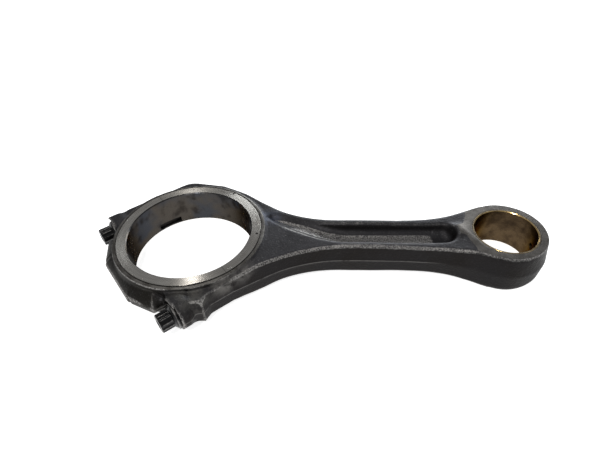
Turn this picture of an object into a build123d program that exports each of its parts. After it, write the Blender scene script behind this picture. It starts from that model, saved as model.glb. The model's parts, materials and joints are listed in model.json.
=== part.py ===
"""Heavy-duty connecting rod with a slanted big-end joint, as separate sub-parts.

Row frame: origin at the centre of the crankpin bore, half way through its length. +X runs to the piston-pin
bore, and +Z is the axis of both bores. The cap and its bolts are drawn in a joint frame whose x' axis lies
along the bolts and points to the rod. It is turned about Z by JOINT_ANGLE.
"""
import math
import os

from build123d import *

# Driving dimensions, in millimetres and degrees
CENTRES = 262.0             # crankpin bore to piston-pin bore
JOINT_ANGLE = 40.0          # bolt axes, measured from +X
DRAFT = 6.5                 # forging draft

BORE_R = 51.95              # crankpin bore
BORE_CHAMFER = 0.8
THRUST_Z = 15.9             # half the big-end length
THRUST_R = 60.35            # outer edge of the polished thrust face
RING_R = 63.7               # outer edge of the turned land round the thrust face
RING_Z = 15.5               # half height of that land

FLANK_T = 68.0              # side of the big end, from the bore axis
BLOCK_Z = 12.1              # half thickness of the big end outside its ring
SHOULDER_S = 36.0           # end of the far flank on the rod
SHOULDER_FILLET = 10.0
LUG_S = 28.5                # corner where the near flank meets the slanted facet of its bolt boss
LUG_T = 71.8
LUG_FLARE_S = 21.0          # where the flank starts to flare out to that corner
LUG_FILLET = 1.5
FACET_END_S = 35.5
FACET_END_T = 66.2

CROWN_Z = 12.1              # half thickness of the cap's arch
CROWN_S = 58.0              # where the arch meets the bolt clearance
CROWN_T = 46.5
PAD_S = 69.4                # outer pad of the cap, from the joint
PAD_T = 24.5
PAD_LIP = 1.5               # small step at each end of the pad
PAD_Z = 2.0                 # half height of the pad
CROWN_SLOPE = 40.0          # draft of the arch above and below the pad
OVERRUN = 10.0              # outlines run past the joint, so that draft doesn't tilt its face

BOLT_T = 59.3               # bolt axes, from the bore axis
SEAT_S = 45.6               # bolt seats, from the joint
BOSS_R = 12.6               # round boss under each bolt head
BOSS_START_S = 26.0
SPOT_FACE_R = 13.0
THREAD_R = 6.0
THREAD_GAP = 0.05           # radial clearance, which stands for the thread
BOLT_END = 27.0             # bolt tip, past the joint
HOLE_END = 31.0
CLEARANCE_R = 6.4           # bolt hole through the cap

FLANGE_R = 10.2
FLANGE_LENGTH = 3.0
HEAD_R = 7.7                # over the points of the twelve-point head
HEAD_LENGTH = 13.9          # seat to the end of the head
HEAD_CHAMFER = 0.8
DIMPLE_R = 4.0              # hollow in the end of the head
DIMPLE_DEPTH = 1.2
WAIST_R = 5.2               # thin part of the shank
WAIST_START = 14.0          # from the seat
WAIST_END = 50.0

PIN_END_R = 34.4            # small end at its middle, where it meets the shank
DRUM_R = 35.2               # small end at its middle, at its tip
DRUM_DRAFT = 9.0
PIN_END_Z = 17.5            # half the small-end length
PIN_FACE_X = 231.0          # where the small end's full thickness begins
BUSH_R = 26.5
PIN_R = 24.7
BUSH_CHAMFER = 0.6
OIL_HOLE_R = 2.6

POCKET_FLOOR_Z = 6.6        # I-beam web
POCKET_HALF = 9.3
POCKET_START_X = 112.0
POCKET_BEND_X = 128.0       # where the pocket's curved end begins
POCKET_END_X = 213.0
HORN_RISE = 3.0             # the curved end is this much shallower

TANG_WIDTH = 6.0            # slots for the bearing shells' tangs
TANG_REACH = 9.0
TANG_DEPTH = 1.8
TANG_Z = -9.5

# Half width of the rod at its middle: the arms, then the shank into the small end
ARM_CURVE = [(62.0, 40.1), (80.0, 29.6), (100.0, 22.4), (120.0, 18.9), (142.0, 18.3)]
NECK_CURVE = [(176.0, 18.6), (205.0, 20.5), (225.0, 24.6), (247.0, 32.0)]
SHOULDER_CURVE = [(19.0, 69.0), (42.0, 56.4), (62.0, 40.1)]

# Half thickness of the rod along its length, as (x, z)
SIDE_PROFILE = [(-80.0, BLOCK_Z), (40.0, 13.2), (80.0, 14.0), (130.0, 14.8), (200.0, 14.3)]

# Curved end of the I-beam pocket: far edge, then tip and near edge
HORN_FAR = [(POCKET_START_X, 10.9), (96.0, 14.8), (80.0, 20.6), (68.0, 22.0)]
HORN_NEAR = [(66.0, 18.6), (78.0, 9.6), (94.0, 1.6), (POCKET_START_X, -5.2), (POCKET_BEND_X, -POCKET_HALF)]

joint_frame = Rot(0, 0, JOINT_ANGLE)


def to_row(s, t):
    """A plan point of the joint frame, in the row frame."""
    angle = math.radians(JOINT_ANGLE)
    return (
        s * math.cos(angle) - t * math.sin(angle),
        s * math.sin(angle) + t * math.cos(angle),
    )


def both_ways(face, half, taper=0.0):
    """A face on the middle plane, extruded up and down with draft."""
    upper = extrude(face, half, taper=taper)
    return upper + mirror(upper, Plane.XY)


def disc(radius, half, x=0.0):
    return Pos(x, 0, 0) * Cylinder(radius, 2 * half)


def along_bolt(radius, start, end, t):
    """A round bar along the bolts, between two distances from the joint, positive into the rod."""
    bar = Cylinder(radius, end - start, align=(Align.CENTER, Align.CENTER, Align.MIN))
    return joint_frame * Pos(start, t, 0) * Rot(0, 90, 0) * bar


def rod_side():
    """The space on the rod's side of the joint."""
    return joint_frame * Box(400, 400, 100, align=(Align.MIN, Align.CENTER, Align.CENTER))


def ring():
    """The turned land and the thrust faces round the crankpin bore."""
    return disc(RING_R, RING_Z) + disc(THRUST_R, THRUST_Z)


def crankpin_bore():
    """The crankpin bore with its chamfers."""
    bore = disc(BORE_R, THRUST_Z + 1)
    mouth = Pos(0, 0, THRUST_Z - BORE_CHAMFER / 2) * Cone(BORE_R, BORE_R + BORE_CHAMFER, BORE_CHAMFER)
    return bore + mouth + mirror(mouth, Plane.XY)


def tang_slots():
    """The slots at the far end of the joint for the bearing shells' tangs."""
    slot = Box(2 * TANG_REACH, 2 * TANG_DEPTH, TANG_WIDTH)
    return joint_frame * Pos(0, BORE_R, TANG_Z) * slot


def rod_outline():
    """Plan outline of the rod forging on the middle plane."""
    flank_end = to_row(SHOULDER_S, FLANK_T)
    near_arm = [(x, -y) for x, y in ARM_CURVE]
    near_neck = [(x, -y) for x, y in NECK_CURVE]
    along = to_row(1, 0)
    tip = (CENTRES + PIN_END_R, 0)
    with BuildSketch() as sketch:
        with BuildLine():
            Polyline(to_row(-OVERRUN, 0), to_row(-OVERRUN, -FLANK_T), near_arm[0])
            Spline(near_arm, tangents=[along, (1, 0)])
            Line(near_arm[-1], near_neck[0])
            Spline(near_neck, tangents=[(1, 0), (0.86, -0.5)])
            ThreePointArc(near_neck[-1], (CENTRES, -PIN_END_R), tip)
            ThreePointArc(tip, (CENTRES, PIN_END_R), NECK_CURVE[-1])
            Spline(NECK_CURVE[::-1], tangents=[(-0.86, -0.5), (-1, 0)])
            Line(NECK_CURVE[0], ARM_CURVE[-1])
            Spline(ARM_CURVE[::-1], tangents=[(-1, 0), (-0.8, 0.6)])
            Spline(SHOULDER_CURVE[::-1], tangents=[(-0.8, 0.6), (-0.95, 0.3)])
            Polyline(SHOULDER_CURVE[0], flank_end, to_row(-OVERRUN, FLANK_T), to_row(-OVERRUN, 0))
        make_face()
        fillet(sketch.vertices().sort_by_distance(flank_end)[0], SHOULDER_FILLET)
    return sketch.sketch


def side_limits():
    """The rod's thickness along its length, as a block wide enough for the whole forging."""
    upper = SIDE_PROFILE + [(PIN_FACE_X, PIN_END_Z), (CENTRES + DRUM_R + 10, PIN_END_Z)]
    lower = [(x, -z) for x, z in reversed(upper)]
    face = Plane.XZ * make_face(Polyline(*upper, *lower, close=True))
    return extrude(face, 200, both=True)


def beam_pocket():
    """One I-beam pocket, open upwards, with its curved and shallower end beside the big end."""
    length = POCKET_END_X - POCKET_START_X
    straight = Pos(POCKET_START_X + length / 2, 0, 0) * Rectangle(length, 2 * POCKET_HALF)
    straight += Pos(POCKET_END_X, 0, 0) * Circle(POCKET_HALF)
    bend = (POCKET_BEND_X, POCKET_HALF)
    with BuildSketch() as horn:
        with BuildLine():
            Line(bend, HORN_FAR[0])
            Spline(HORN_FAR, tangents=[(-0.97, 0.24), (-1, 0)])
            Line(HORN_FAR[-1], HORN_NEAR[0])
            Spline(HORN_NEAR, tangents=[(0.8, -0.6), (1, 0)])
            Line(HORN_NEAR[-1], bend)
        make_face()
    deep = Pos(0, 0, POCKET_FLOOR_Z) * extrude(straight, PIN_END_Z)
    shallow = Pos(0, 0, POCKET_FLOOR_Z + HORN_RISE) * extrude(horn.sketch, PIN_END_Z)
    return deep + shallow


def rod_body():
    """The forged rod: arms, shank, small end and its half of the ring."""
    forging = both_ways(rod_outline(), PIN_END_Z, DRAFT) & side_limits()
    forging += Pos(CENTRES, 0, 0) * both_ways(make_face(Circle(DRUM_R).edges()), PIN_END_Z, DRUM_DRAFT)
    body = (forging + ring()) & rod_side()
    pocket = beam_pocket()
    body -= pocket + mirror(pocket, Plane.XY)
    body -= crankpin_bore() + tang_slots()
    body -= disc(BUSH_R, PIN_END_Z + 1, CENTRES)
    body -= oil_hole()
    for t in (-BOLT_T, BOLT_T):
        body -= along_bolt(THREAD_R + THREAD_GAP, 0, HOLE_END, t)
    return body


def oil_hole():
    """The oil hole through the small end's tip and its bush."""
    return Pos(CENTRES + PIN_R, 0, 0) * Rot(0, 90, 0) * Cylinder(OIL_HOLE_R, 30)


def cap_outline():
    """Plan outline of the cap's block in the joint frame: flanks, near lug, facets and seats."""
    near_half = [
        (OVERRUN, -FLANK_T),
        (-LUG_FLARE_S, -FLANK_T),
        (-LUG_S, -LUG_T),
        (-FACET_END_S, -FACET_END_T),
        (-SEAT_S, -FACET_END_T),
    ]
    far_half = [
        (-SEAT_S, FACET_END_T),
        (-FACET_END_S, FACET_END_T),
        (-LUG_S, FLANK_T),
        (OVERRUN, FLANK_T),
    ]
    outline = Sketch() + make_face(Polyline(*near_half, *far_half, close=True))
    corners = outline.vertices().filter_by(lambda v: abs(v.Y + LUG_T) < 0.01 or abs(v.X + LUG_FLARE_S) < 0.01)
    return fillet(corners, LUG_FILLET)


def crown():
    """The arch of the cap between the bolts, sloped to a narrow pad with a small step at each end."""
    near_half = [
        (OVERRUN, -CROWN_T),
        (-CROWN_S, -CROWN_T),
        (-PAD_S + PAD_LIP, -PAD_T - 2),
        (-PAD_S + PAD_LIP, -PAD_T),
        (-PAD_S, -PAD_T + 1.5),
    ]
    far_half = [(x, -y) for x, y in reversed(near_half)]
    outline = make_face(Polyline(*near_half, *far_half, close=True))
    slope = extrude(Pos(0, 0, PAD_Z) * outline, CROWN_Z - PAD_Z, taper=CROWN_SLOPE)
    upper = extrude(outline, PAD_Z) + slope
    return upper + mirror(upper, Plane.XY)


def bearing_cap():
    """The forged cap that closes the big end."""
    shape = joint_frame * (both_ways(cap_outline(), BLOCK_Z, DRAFT) + crown())
    for t in (-BOLT_T, BOLT_T):
        shape += along_bolt(BOSS_R, -SEAT_S, -BOSS_START_S, t)
    shape += ring()
    shape -= rod_side()
    for t in (-BOLT_T, BOLT_T):
        shape -= along_bolt(SPOT_FACE_R, -PAD_S - 10, -SEAT_S, t)
        shape -= along_bolt(CLEARANCE_R, -SEAT_S, 0, t)
    shape -= crankpin_bore() + tang_slots()
    return shape


def cap_bolt(t):
    """A flange bolt with a twelve-point head, a waisted shank and a plain bar in place of its thread."""
    head_end = -SEAT_S - HEAD_LENGTH
    hexagon = RegularPolygon(HEAD_R, 6)
    points = extrude(hexagon + Rot(0, 0, 30) * hexagon, HEAD_LENGTH)
    end_edges = points.faces().sort_by(Axis.Z)[0].edges()
    points = chamfer(end_edges, HEAD_CHAMFER)
    points -= Cone(DIMPLE_R, DIMPLE_R - DIMPLE_DEPTH, 2 * DIMPLE_DEPTH)
    head = joint_frame * Pos(head_end, t, 0) * Rot(0, 90, 0) * points
    flange = along_bolt(FLANGE_R, -SEAT_S - FLANGE_LENGTH, -SEAT_S, t)
    rim = flange.edges().group_by(SortBy.LENGTH)[-1]
    flange = chamfer(rim, 0.5)
    bolt = head + flange + along_bolt(THREAD_R, -SEAT_S, BOLT_END, t)
    waist = (-SEAT_S + WAIST_START, -SEAT_S + WAIST_END)
    return bolt - (along_bolt(THREAD_R + 1, *waist, t) - along_bolt(WAIST_R, *waist, t))


def pin_bush():
    """The bronze bush of the small end, with its oil hole."""
    bush = disc(BUSH_R, PIN_END_Z, CENTRES) - disc(PIN_R, PIN_END_Z + 1, CENTRES)
    rims = [e for e in bush.edges().filter_by(GeomType.CIRCLE) if abs(e.radius - PIN_R) < 0.01]
    return chamfer(rims, BUSH_CHAMFER) - oil_hole()


def main():
    os.makedirs("parts", exist_ok=True)
    parts = {
        "rod_body": rod_body(),
        "bearing_cap": bearing_cap(),
        "pin_bush": pin_bush(),
        "cap_bolt_near": cap_bolt(-BOLT_T),
        "cap_bolt_far": cap_bolt(BOLT_T),
    }
    for name, shape in parts.items():
        export_step(shape, f"parts/{name}.step")


main()
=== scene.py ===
"""Detailed looks of a heavy-duty connecting rod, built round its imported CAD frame.

Shapes are worked out in millimetres in the row frame: origin at the centre of the crankpin bore, +X to the
piston pin and +Z along both bores. Each forging starts as a field that is negative inside the metal. It is
meshed, then machined with closed cutting tools, and scaled to metres at the end. In the joint frame, s runs
along the bolts into the rod and t runs across them.
"""

import json
import math

import bmesh
import bpy
import numpy as np
import openvdb
from mathutils import Matrix, Vector


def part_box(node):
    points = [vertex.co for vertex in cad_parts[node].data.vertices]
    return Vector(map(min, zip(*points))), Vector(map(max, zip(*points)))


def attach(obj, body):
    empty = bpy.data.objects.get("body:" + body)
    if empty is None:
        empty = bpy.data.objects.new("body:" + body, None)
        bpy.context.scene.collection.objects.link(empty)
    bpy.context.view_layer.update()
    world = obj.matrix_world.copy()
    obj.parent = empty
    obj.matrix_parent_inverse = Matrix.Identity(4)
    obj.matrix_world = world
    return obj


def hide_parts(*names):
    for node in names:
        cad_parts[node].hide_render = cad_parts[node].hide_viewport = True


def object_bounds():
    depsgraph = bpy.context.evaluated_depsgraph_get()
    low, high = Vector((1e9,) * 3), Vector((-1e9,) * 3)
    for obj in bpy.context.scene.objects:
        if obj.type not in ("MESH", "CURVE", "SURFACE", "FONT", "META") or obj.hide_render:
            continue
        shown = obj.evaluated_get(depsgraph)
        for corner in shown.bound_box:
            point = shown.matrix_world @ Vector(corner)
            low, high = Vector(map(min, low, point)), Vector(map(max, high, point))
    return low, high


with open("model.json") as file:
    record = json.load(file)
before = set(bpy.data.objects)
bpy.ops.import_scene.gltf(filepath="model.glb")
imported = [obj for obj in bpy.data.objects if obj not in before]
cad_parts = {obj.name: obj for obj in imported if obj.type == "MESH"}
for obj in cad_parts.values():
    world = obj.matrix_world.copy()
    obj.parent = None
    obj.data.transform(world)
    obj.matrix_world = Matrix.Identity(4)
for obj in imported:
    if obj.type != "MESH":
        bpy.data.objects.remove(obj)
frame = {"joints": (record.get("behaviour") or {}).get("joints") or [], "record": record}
cad_low, cad_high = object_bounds()
MM = 0.001


def mount_of(name):
    return next(m for m in frame["record"]["mounts"] if m["name"] == name)


# Driving dimensions taken from the frame, in millimetres
BORE_R = mount_of("crankpin_bore")["dims"]["r_mm"]
PIN_R = mount_of("piston_pin_bore")["dims"]["r_mm"]
PIN_X = mount_of("piston_pin_bore")["pos_m"][0] / MM
THRUST_Z = mount_of("thrust_face_top")["pos_m"][2] / MM
PIN_END_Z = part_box("pin_bush")[1].z / MM
BUSH_R = (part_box("pin_bush")[1].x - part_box("pin_bush")[0].x) / 2 / MM
PULL = Vector(frame["joints"][0]["axis"])
JOINT_ANGLE = math.atan2(-PULL.y, -PULL.x)
COS, SIN = math.cos(JOINT_ANGLE), math.sin(JOINT_ANGLE)

# Driving dimensions of the detailed shapes, in millimetres
ROD_VOXEL = 0.95
CAP_VOXEL = 0.7
OVERRUN = 4.0               # each forging runs past its joint face before the cut
PAST_JOINT = 20.0           # outlines run this far past the joint, where the cut takes the rest away
FORGING_DRAFT = math.radians(6.5)
EDGE_ROUND = 2.4
FLASH_RISE = 0.3            # flash line round the middle of the forging
FLASH_WIDTH = 0.9
FLASH_FADE = (190.0, 215.0)

THRUST_R = 60.35
GROOVE_R = 61.2             # outer edge of the groove round the thrust face
GROOVE_FLOOR = 14.9
RING_R = 63.7
RING_Z = 15.5
BORE_CHAMFER = 0.8
CUTTER_Z = 18.0             # the big end's cutters reach past its faces
THRUST_EDGE = 0.25
FLANK_T = 68.0
FLANK_S = 36.0              # where the far flank turns into the arm
FLANK_ROUND = 9.0
BLOCK_Z = 12.1
CROWN_SLOPE = math.radians(40)
CROWN_PAD_Z = 2.0           # half width of the crown's upright pad
CROWN_ROUND = 7.0

BOLT_T = 59.3
SEAT_S = 45.6
SEAT_STOCK = 0.6            # metal on the bosses before their seats are cut
BOSS_R = 12.6
BOSS_END_S = 36.4
SPOT_FACE_R = 13.0
HOLE_R = 6.05
HOLE_DEPTH = 31.0
CLEARANCE_R = 6.4

POCKET_FLOOR = 6.0
POCKET_HALF = 11.0          # at the top edge
POCKET_WALL = math.radians(26.0)    # from upright
POCKET_END_X = 212.5
POCKET_ROUND = 4.5
HORN_FLOOR = 10.0

DRUM_R = 35.15
TIP_R = 34.4
DRUM_TOP_SLOPE = 0.19
DRUM_BOTTOM_SLOPE = 0.09
DRUM_ROUND = 5.0
TIP_ANGLE = 112             # the tip's arc on each side of the rod's axis, in degrees
BOSS_TOP_R = 31.0           # where the small end's boss starts to slope down
BOSS_SLOPE = 0.33
NOSE_X = 224.0              # tip of the boss's nose
NOSE_Y = 2.0
NOSE_HALF = 5.0
OIL_HOLE_R = 2.6
COUNTERSINK = 1.6
TANG_Z = -11.4
TANG_HALF = 2.7
TANG_DEPTH = 1.8
TANG_S = (-9.5, 12.0)
PRICK_MARKS = [(30.5, 50.5), (57.6, -3.0)]
MARK_R = 1.25

HEAD_R = 7.7                # to the points, before they are blunted
HEAD_LENGTH = 13.9
FLANGE_R = 10.2
SEAT_GAP = 0.02             # under the flange
WAIST_R = 5.2
THREAD_R = 6.0
THREAD_PITCH = 1.75
THREAD_STEPS = 8            # rings of the mesh in one turn of the thread
THREAD_START = 50.0         # from the seat
BOLT_END = 27.0             # past the joint
BOLT_SEGMENTS = 144

# Half width at the middle plane as (x, y): arms, neck and far shoulder
ARM_CURVE = [(62.0, 40.1), (80.0, 29.6), (100.0, 22.4), (120.0, 18.9), (142.0, 18.3)]
NECK_CURVE = [(176.0, 18.6), (205.0, 20.5), (225.0, 24.6), (247.0, 32.0)]
SHOULDER_CURVE = [(19.0, 69.0), (42.0, 56.4), (62.0, 40.1)]

# Half thickness of the forging along X, as (x, z)
TOP_CURVE = [
    (-80.0, BLOCK_Z), (20.0, 12.1), (46.0, 12.8), (62.0, 14.4), (80.0, 13.5), (100.0, 13.7), (130.0, 14.9),
    (150.0, 15.0), (175.0, 14.3), (196.0, 14.1), (210.0, 14.9), (221.0, 15.7), (232.0, 17.3), (250.0, 18.6),
    (310.0, 19.0),
]

# Curved end of the I-beam pocket: far edge, then near edge
HORN_FAR = [(128.0, 11.0), (112.0, 12.3), (96.0, 16.2), (80.0, 22.0), (67.0, 24.0)]
HORN_NEAR = [(64.0, 18.6), (78.0, 9.0), (94.0, 0.4), (112.0, -7.0), (128.0, -11.0)]


# ---- plan outlines

def to_row(s, t):
    """A plan point of the joint frame, in the row frame."""
    return (s * COS - t * SIN, s * SIN + t * COS)


def smooth_line(points, steps=8):
    """A Catmull-Rom curve through points."""
    p = [np.array(q, float) for q in points]
    p = [2 * p[0] - p[1], *p, 2 * p[-1] - p[-2]]
    out = []
    for a, b, c, d in zip(p, p[1:], p[2:], p[3:]):
        for i in range(steps):
            u = i / steps
            out.append(0.5 * (2 * b + (c - a) * u + (2 * a - 5 * b + 4 * c - d) * u**2
                              + (3 * b - a - 3 * c + d) * u**3))
    out.append(p[-2])
    return [tuple(q) for q in out]


def rounded(points, reach, steps=5):
    """The corner between three points, as a curve that leaves the corner by reach on each side."""
    a, b, c = (np.array(q, float) for q in points)
    start = b + (a - b) / np.linalg.norm(a - b) * reach
    end = b + (c - b) / np.linalg.norm(c - b) * reach
    return [tuple(start * (1 - u)**2 + 2 * b * u * (1 - u) + end * u**2) for u in np.linspace(0, 1, steps)]


def arc(centre, radius, start, end, steps):
    angles = np.radians(np.linspace(start, end, steps))
    return [(centre[0] + radius * math.cos(a), centre[1] + radius * math.sin(a)) for a in angles]


def rod_outline():
    """The rod's outline on its middle plane, anticlockwise from the joint's near end."""
    near_arm = [(x, -y) for x, y in smooth_line(ARM_CURVE)]
    near_neck = [(x, -y) for x, y in smooth_line(NECK_CURVE)]
    tip = arc((PIN_X, 0), TIP_R, -TIP_ANGLE, TIP_ANGLE, 32)
    far_side = smooth_line(NECK_CURVE)[::-1] + smooth_line(SHOULDER_CURVE[:-1] + ARM_CURVE)[::-1]
    far_end = to_row(-PAST_JOINT, FLANK_T)
    corner = rounded([SHOULDER_CURVE[0], to_row(FLANK_S, FLANK_T), far_end], FLANK_ROUND)
    joint_end = [to_row(-PAST_JOINT, 0), to_row(-PAST_JOINT, -FLANK_T), to_row(0, -FLANK_T)]
    return [*joint_end, *near_arm, *near_neck, *tip, *far_side, *corner, far_end]


def pocket_outline():
    """The I-beam pocket's outline at its top edge."""
    end = arc((POCKET_END_X, 0), POCKET_HALF, -90, 90, 13)
    return [*smooth_line(HORN_NEAR), *end, *smooth_line(HORN_FAR)]


def cap_outline():
    """The cap's block in the joint frame, with a lug on its near flank."""
    foot, peak, heel = (-21, -FLANK_T), (-28.5, -71.8), (-41.5, -61.4)
    lug = rounded([foot, peak, heel], 1)
    flare = rounded([(PAST_JOINT, -FLANK_T), foot, peak], 1.5)
    end = -SEAT_S - 1
    return [(PAST_JOINT, -FLANK_T), *flare, *lug, heel, (end, -61.4),
            (end, 66.2), (-35.5, 66.2), (-28.5, FLANK_T), (PAST_JOINT, FLANK_T)]


def crown_outline():
    """The cap's arch between the bolts, in the joint frame, with a small step at each end of its pad."""
    near = [(PAST_JOINT, -46.5), (-58, -46.5), (-67.9, -26.5), (-67.9, -24.5), (-69.4, -23)]
    return near + [(s, -t) for s, t in reversed(near)]


# ---- fields

def both_max(a, b, radius):
    """The inside of both fields, with its edge rounded."""
    u, v = np.maximum(a + radius, 0), np.maximum(b + radius, 0)
    return np.minimum(np.maximum(a, b), -radius) + np.hypot(u, v)


def either_min(a, b, radius):
    """The inside of either field, with its corner filled."""
    return -both_max(-a, -b, radius)


def outline_distance(points, x, y):
    """Signed distance to a closed outline, negative inside."""
    p = np.array(points, float)
    best = np.full(np.broadcast(x, y).shape, 1e9)
    inside = np.zeros(best.shape, bool)
    for (ax, ay), (bx, by) in zip(p, np.roll(p, -1, axis=0)):
        ex, ey = bx - ax, by - ay
        length = ex * ex + ey * ey
        if length < 1e-9:
            continue
        share = np.clip(((x - ax) * ex + (y - ay) * ey) / length, 0, 1)
        best = np.minimum(best, (x - ax - share * ex)**2 + (y - ay - share * ey)**2)
        if ay != by:
            crosses = ((ay > y) != (by > y)) & (x < ax + (y - ay) * ex / ey)
            inside ^= crosses
    return np.where(inside, -1, 1) * np.sqrt(best)


def ramp(x, low, high):
    """0 below low, 1 above high, and smooth between."""
    u = np.clip((x - low) / (high - low), 0, 1)
    return u * u * (3 - 2 * u)


def higher(a, b, blend):
    """The larger of two heights, smooth where they cross."""
    share = np.clip(0.5 + 0.5 * (a - b) / blend, 0, 1)
    return b + (a - b) * share + blend * share * (1 - share)


def top_height(x, y):
    """Half thickness of the rod's forging, with the small end's boss and its nose towards the pocket."""
    line = np.array(smooth_line(TOP_CURVE))
    along = np.interp(x, line[:, 0], line[:, 1]) + 0 * y
    boss = PIN_END_Z + (BOSS_TOP_R - np.hypot(x - PIN_X, y)) * BOSS_SLOPE
    nose = PIN_END_Z + (x - NOSE_X) * 0.12 - np.maximum(np.abs(y - NOSE_Y) - NOSE_HALF, 0) * 0.45
    peak = np.where(x > 205, np.maximum(boss, nose), 0)
    return np.minimum(higher(along, peak, 1.5), PIN_END_Z + 1.2)


def ring_boss(x, y, z):
    """The raised land round the crankpin bore."""
    return both_max(np.hypot(x, y) - RING_R, z - RING_Z, 0.9)


def rod_field(x, y, z):
    """The rod's forging: its drafted outline, the small end, the crankpin land and the pockets."""
    z_abs = np.abs(z)
    flash = FLASH_RISE * np.exp(-(z / FLASH_WIDTH)**2) * (1 - ramp(x, *FLASH_FADE))
    side = outline_distance(rod_outline(), x, y) + z_abs * math.tan(FORGING_DRAFT) - flash
    side = side * math.cos(FORGING_DRAFT)
    height = top_height(x, y)
    sharper_at_joint = 1.0 - ramp(x, 40, 75)
    forging = both_max(side, z_abs - height, EDGE_ROUND - sharper_at_joint)
    slope = np.where(z > 0, DRUM_TOP_SLOPE, DRUM_BOTTOM_SLOPE)
    drum = both_max(np.hypot(x - PIN_X, y) - DRUM_R + slope * z_abs, z_abs - PIN_END_Z - 0.7, DRUM_ROUND)
    drum_blend = 4.0 - 3.2 * ramp(x, 255, 285)
    forging = either_min(forging, drum, drum_blend)
    land_blend = 1.5 + 1.5 * ramp(x, 40, 60)
    forging = either_min(forging, ring_boss(x, y, z_abs), land_blend)
    s = x * COS + y * SIN
    forging = np.maximum(forging, -s - OVERRUN)
    floor = POCKET_FLOOR + (HORN_FLOOR - POCKET_FLOOR) * (1 - ramp(x, 92, 135))
    wall = outline_distance(pocket_outline(), x, y) + (height - z_abs) * math.tan(POCKET_WALL)
    pocket = both_max(wall * math.cos(POCKET_WALL), floor - z_abs, POCKET_ROUND)
    return both_max(forging, -pocket, 1.8)


def cap_field(x, y, z):
    """The cap's forging: its block with the lug, the crown, the bolt bosses and the crankpin land."""
    s, t = x * COS + y * SIN, y * COS - x * SIN
    z_abs = np.abs(z)
    block = outline_distance(cap_outline(), s, t) + z_abs * math.tan(FORGING_DRAFT)
    block = both_max(block * math.cos(FORGING_DRAFT), z_abs - BLOCK_Z, 1.2)
    block = np.maximum(block, -SEAT_S - SEAT_STOCK - s)
    arch = outline_distance(crown_outline(), s, t)
    sloped = (arch + np.maximum(z_abs - CROWN_PAD_Z, 0) * math.tan(CROWN_SLOPE)) * math.cos(CROWN_SLOPE)
    arch = both_max(both_max(arch, sloped, 1.5), z_abs - BLOCK_Z, CROWN_ROUND)
    shape = either_min(block, arch, 3.0)
    for side in (-BOLT_T, BOLT_T):
        boss = both_max(np.hypot(t - side, z) - BOSS_R, s + BOSS_END_S, 3.0)
        shape = either_min(shape, np.maximum(boss, -SEAT_S - SEAT_STOCK - s), 6.0)
    shape = either_min(shape, ring_boss(x, y, z_abs), 1.5)
    return np.maximum(shape, s - OVERRUN)


# ---- meshes

def link_object(name, data):
    """A new object of the scene."""
    made = bpy.data.objects.new(name, data)
    bpy.context.scene.collection.objects.link(made)
    return made


def new_object(name, points, faces):
    mesh = bpy.data.meshes.new(name)
    mesh.from_pydata(points, [], faces)
    mesh.validate()
    return link_object(name, mesh)


def soften(solid, passes=3, reach=2):
    """A blurred copy of a grid, by repeated box averages along each axis."""
    for _ in range(passes):
        for axis in range(3):
            margins = [(reach + 1, reach) if a == axis else (0, 0) for a in range(3)]
            padded = np.pad(solid, margins, mode="edge")
            total = np.cumsum(padded, axis=axis)
            width = 2 * reach + 1
            high = np.take(total, range(width, total.shape[axis]), axis=axis)
            low = np.take(total, range(0, total.shape[axis] - width), axis=axis)
            solid = (high - low) / width
    return solid


class Field:
    """A field sampled over a node's box."""

    def __init__(self, node, function, voxel):
        low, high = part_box(node)
        low, high = np.array(low) / MM - 4, np.array(high) / MM + 4
        self.low = low
        self.voxel = voxel
        self.axes = [np.arange(a, b, voxel) for a, b in zip(low, high)]
        self.x, self.y, self.z = np.meshgrid(*self.axes, indexing="ij", sparse=True)
        self.values = function(self.x, self.y, self.z).astype(np.float32)

    def surface(self, name):
        """The zero surface as a closed quad mesh."""
        grid = openvdb.FloatGrid(4.0)
        grid.copyFromArray(np.clip(self.values, -4, 4) / self.voxel)
        points, quads = grid.convertToQuads()
        points = points * self.voxel + self.low
        return new_object(name, points.tolist(), quads[:, ::-1].tolist())

    def edge_map(self, *cuts):
        """How far the finished solid's skin stands out: 0.5 where it is flat and more on an edge."""
        solid = self.values
        for cut in cuts:
            solid = np.maximum(solid, cut(self.x, self.y, self.z))
        inside = np.clip(0.5 - solid / self.voxel, 0, 1)
        self.edges = 1 - soften(inside, reach=round(1.9 / self.voxel))

    def sample(self, grid, points):
        """Grid values at points, in between its corners."""
        place = (points - self.low) / self.voxel
        limit = np.array(grid.shape) - 2
        base = np.clip(np.floor(place).astype(int), 0, limit)
        part = np.clip(place - base, 0, 1)
        total = 0
        for corner in range(8):
            step = [(corner >> a) & 1 for a in range(3)]
            weight = np.prod([part[:, a] if step[a] else 1 - part[:, a] for a in range(3)], axis=0)
            total = total + weight * grid[tuple(base[:, a] + step[a] for a in range(3))]
        return total


def lathe(name, profile, segments=192, centre=(0.0, 0.0)):
    """A solid turned about Z from a closed profile of (r, z) points, or from one that ends on the axis."""
    points, faces, rings = [], [], []
    for r, z in profile:
        if r < 1e-6:
            rings.append([len(points)] * segments)
            points.append((centre[0], centre[1], z))
            continue
        rings.append(list(range(len(points), len(points) + segments)))
        for i in range(segments):
            angle = 2 * math.pi * i / segments
            points.append((centre[0] + r * math.cos(angle), centre[1] + r * math.sin(angle), z))
    open_ended = profile[0][0] < 1e-6
    pairs = zip(rings, rings[1:]) if open_ended else zip(rings, rings[1:] + rings[:1])
    for a, b in pairs:
        for i in range(segments):
            j = (i + 1) % segments
            face = list(dict.fromkeys([a[i], a[j], b[j], b[i]]))
            if len(face) > 2:
                faces.append(face)
    made = new_object(name, points, faces)
    face_outwards(made)
    return made


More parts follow.
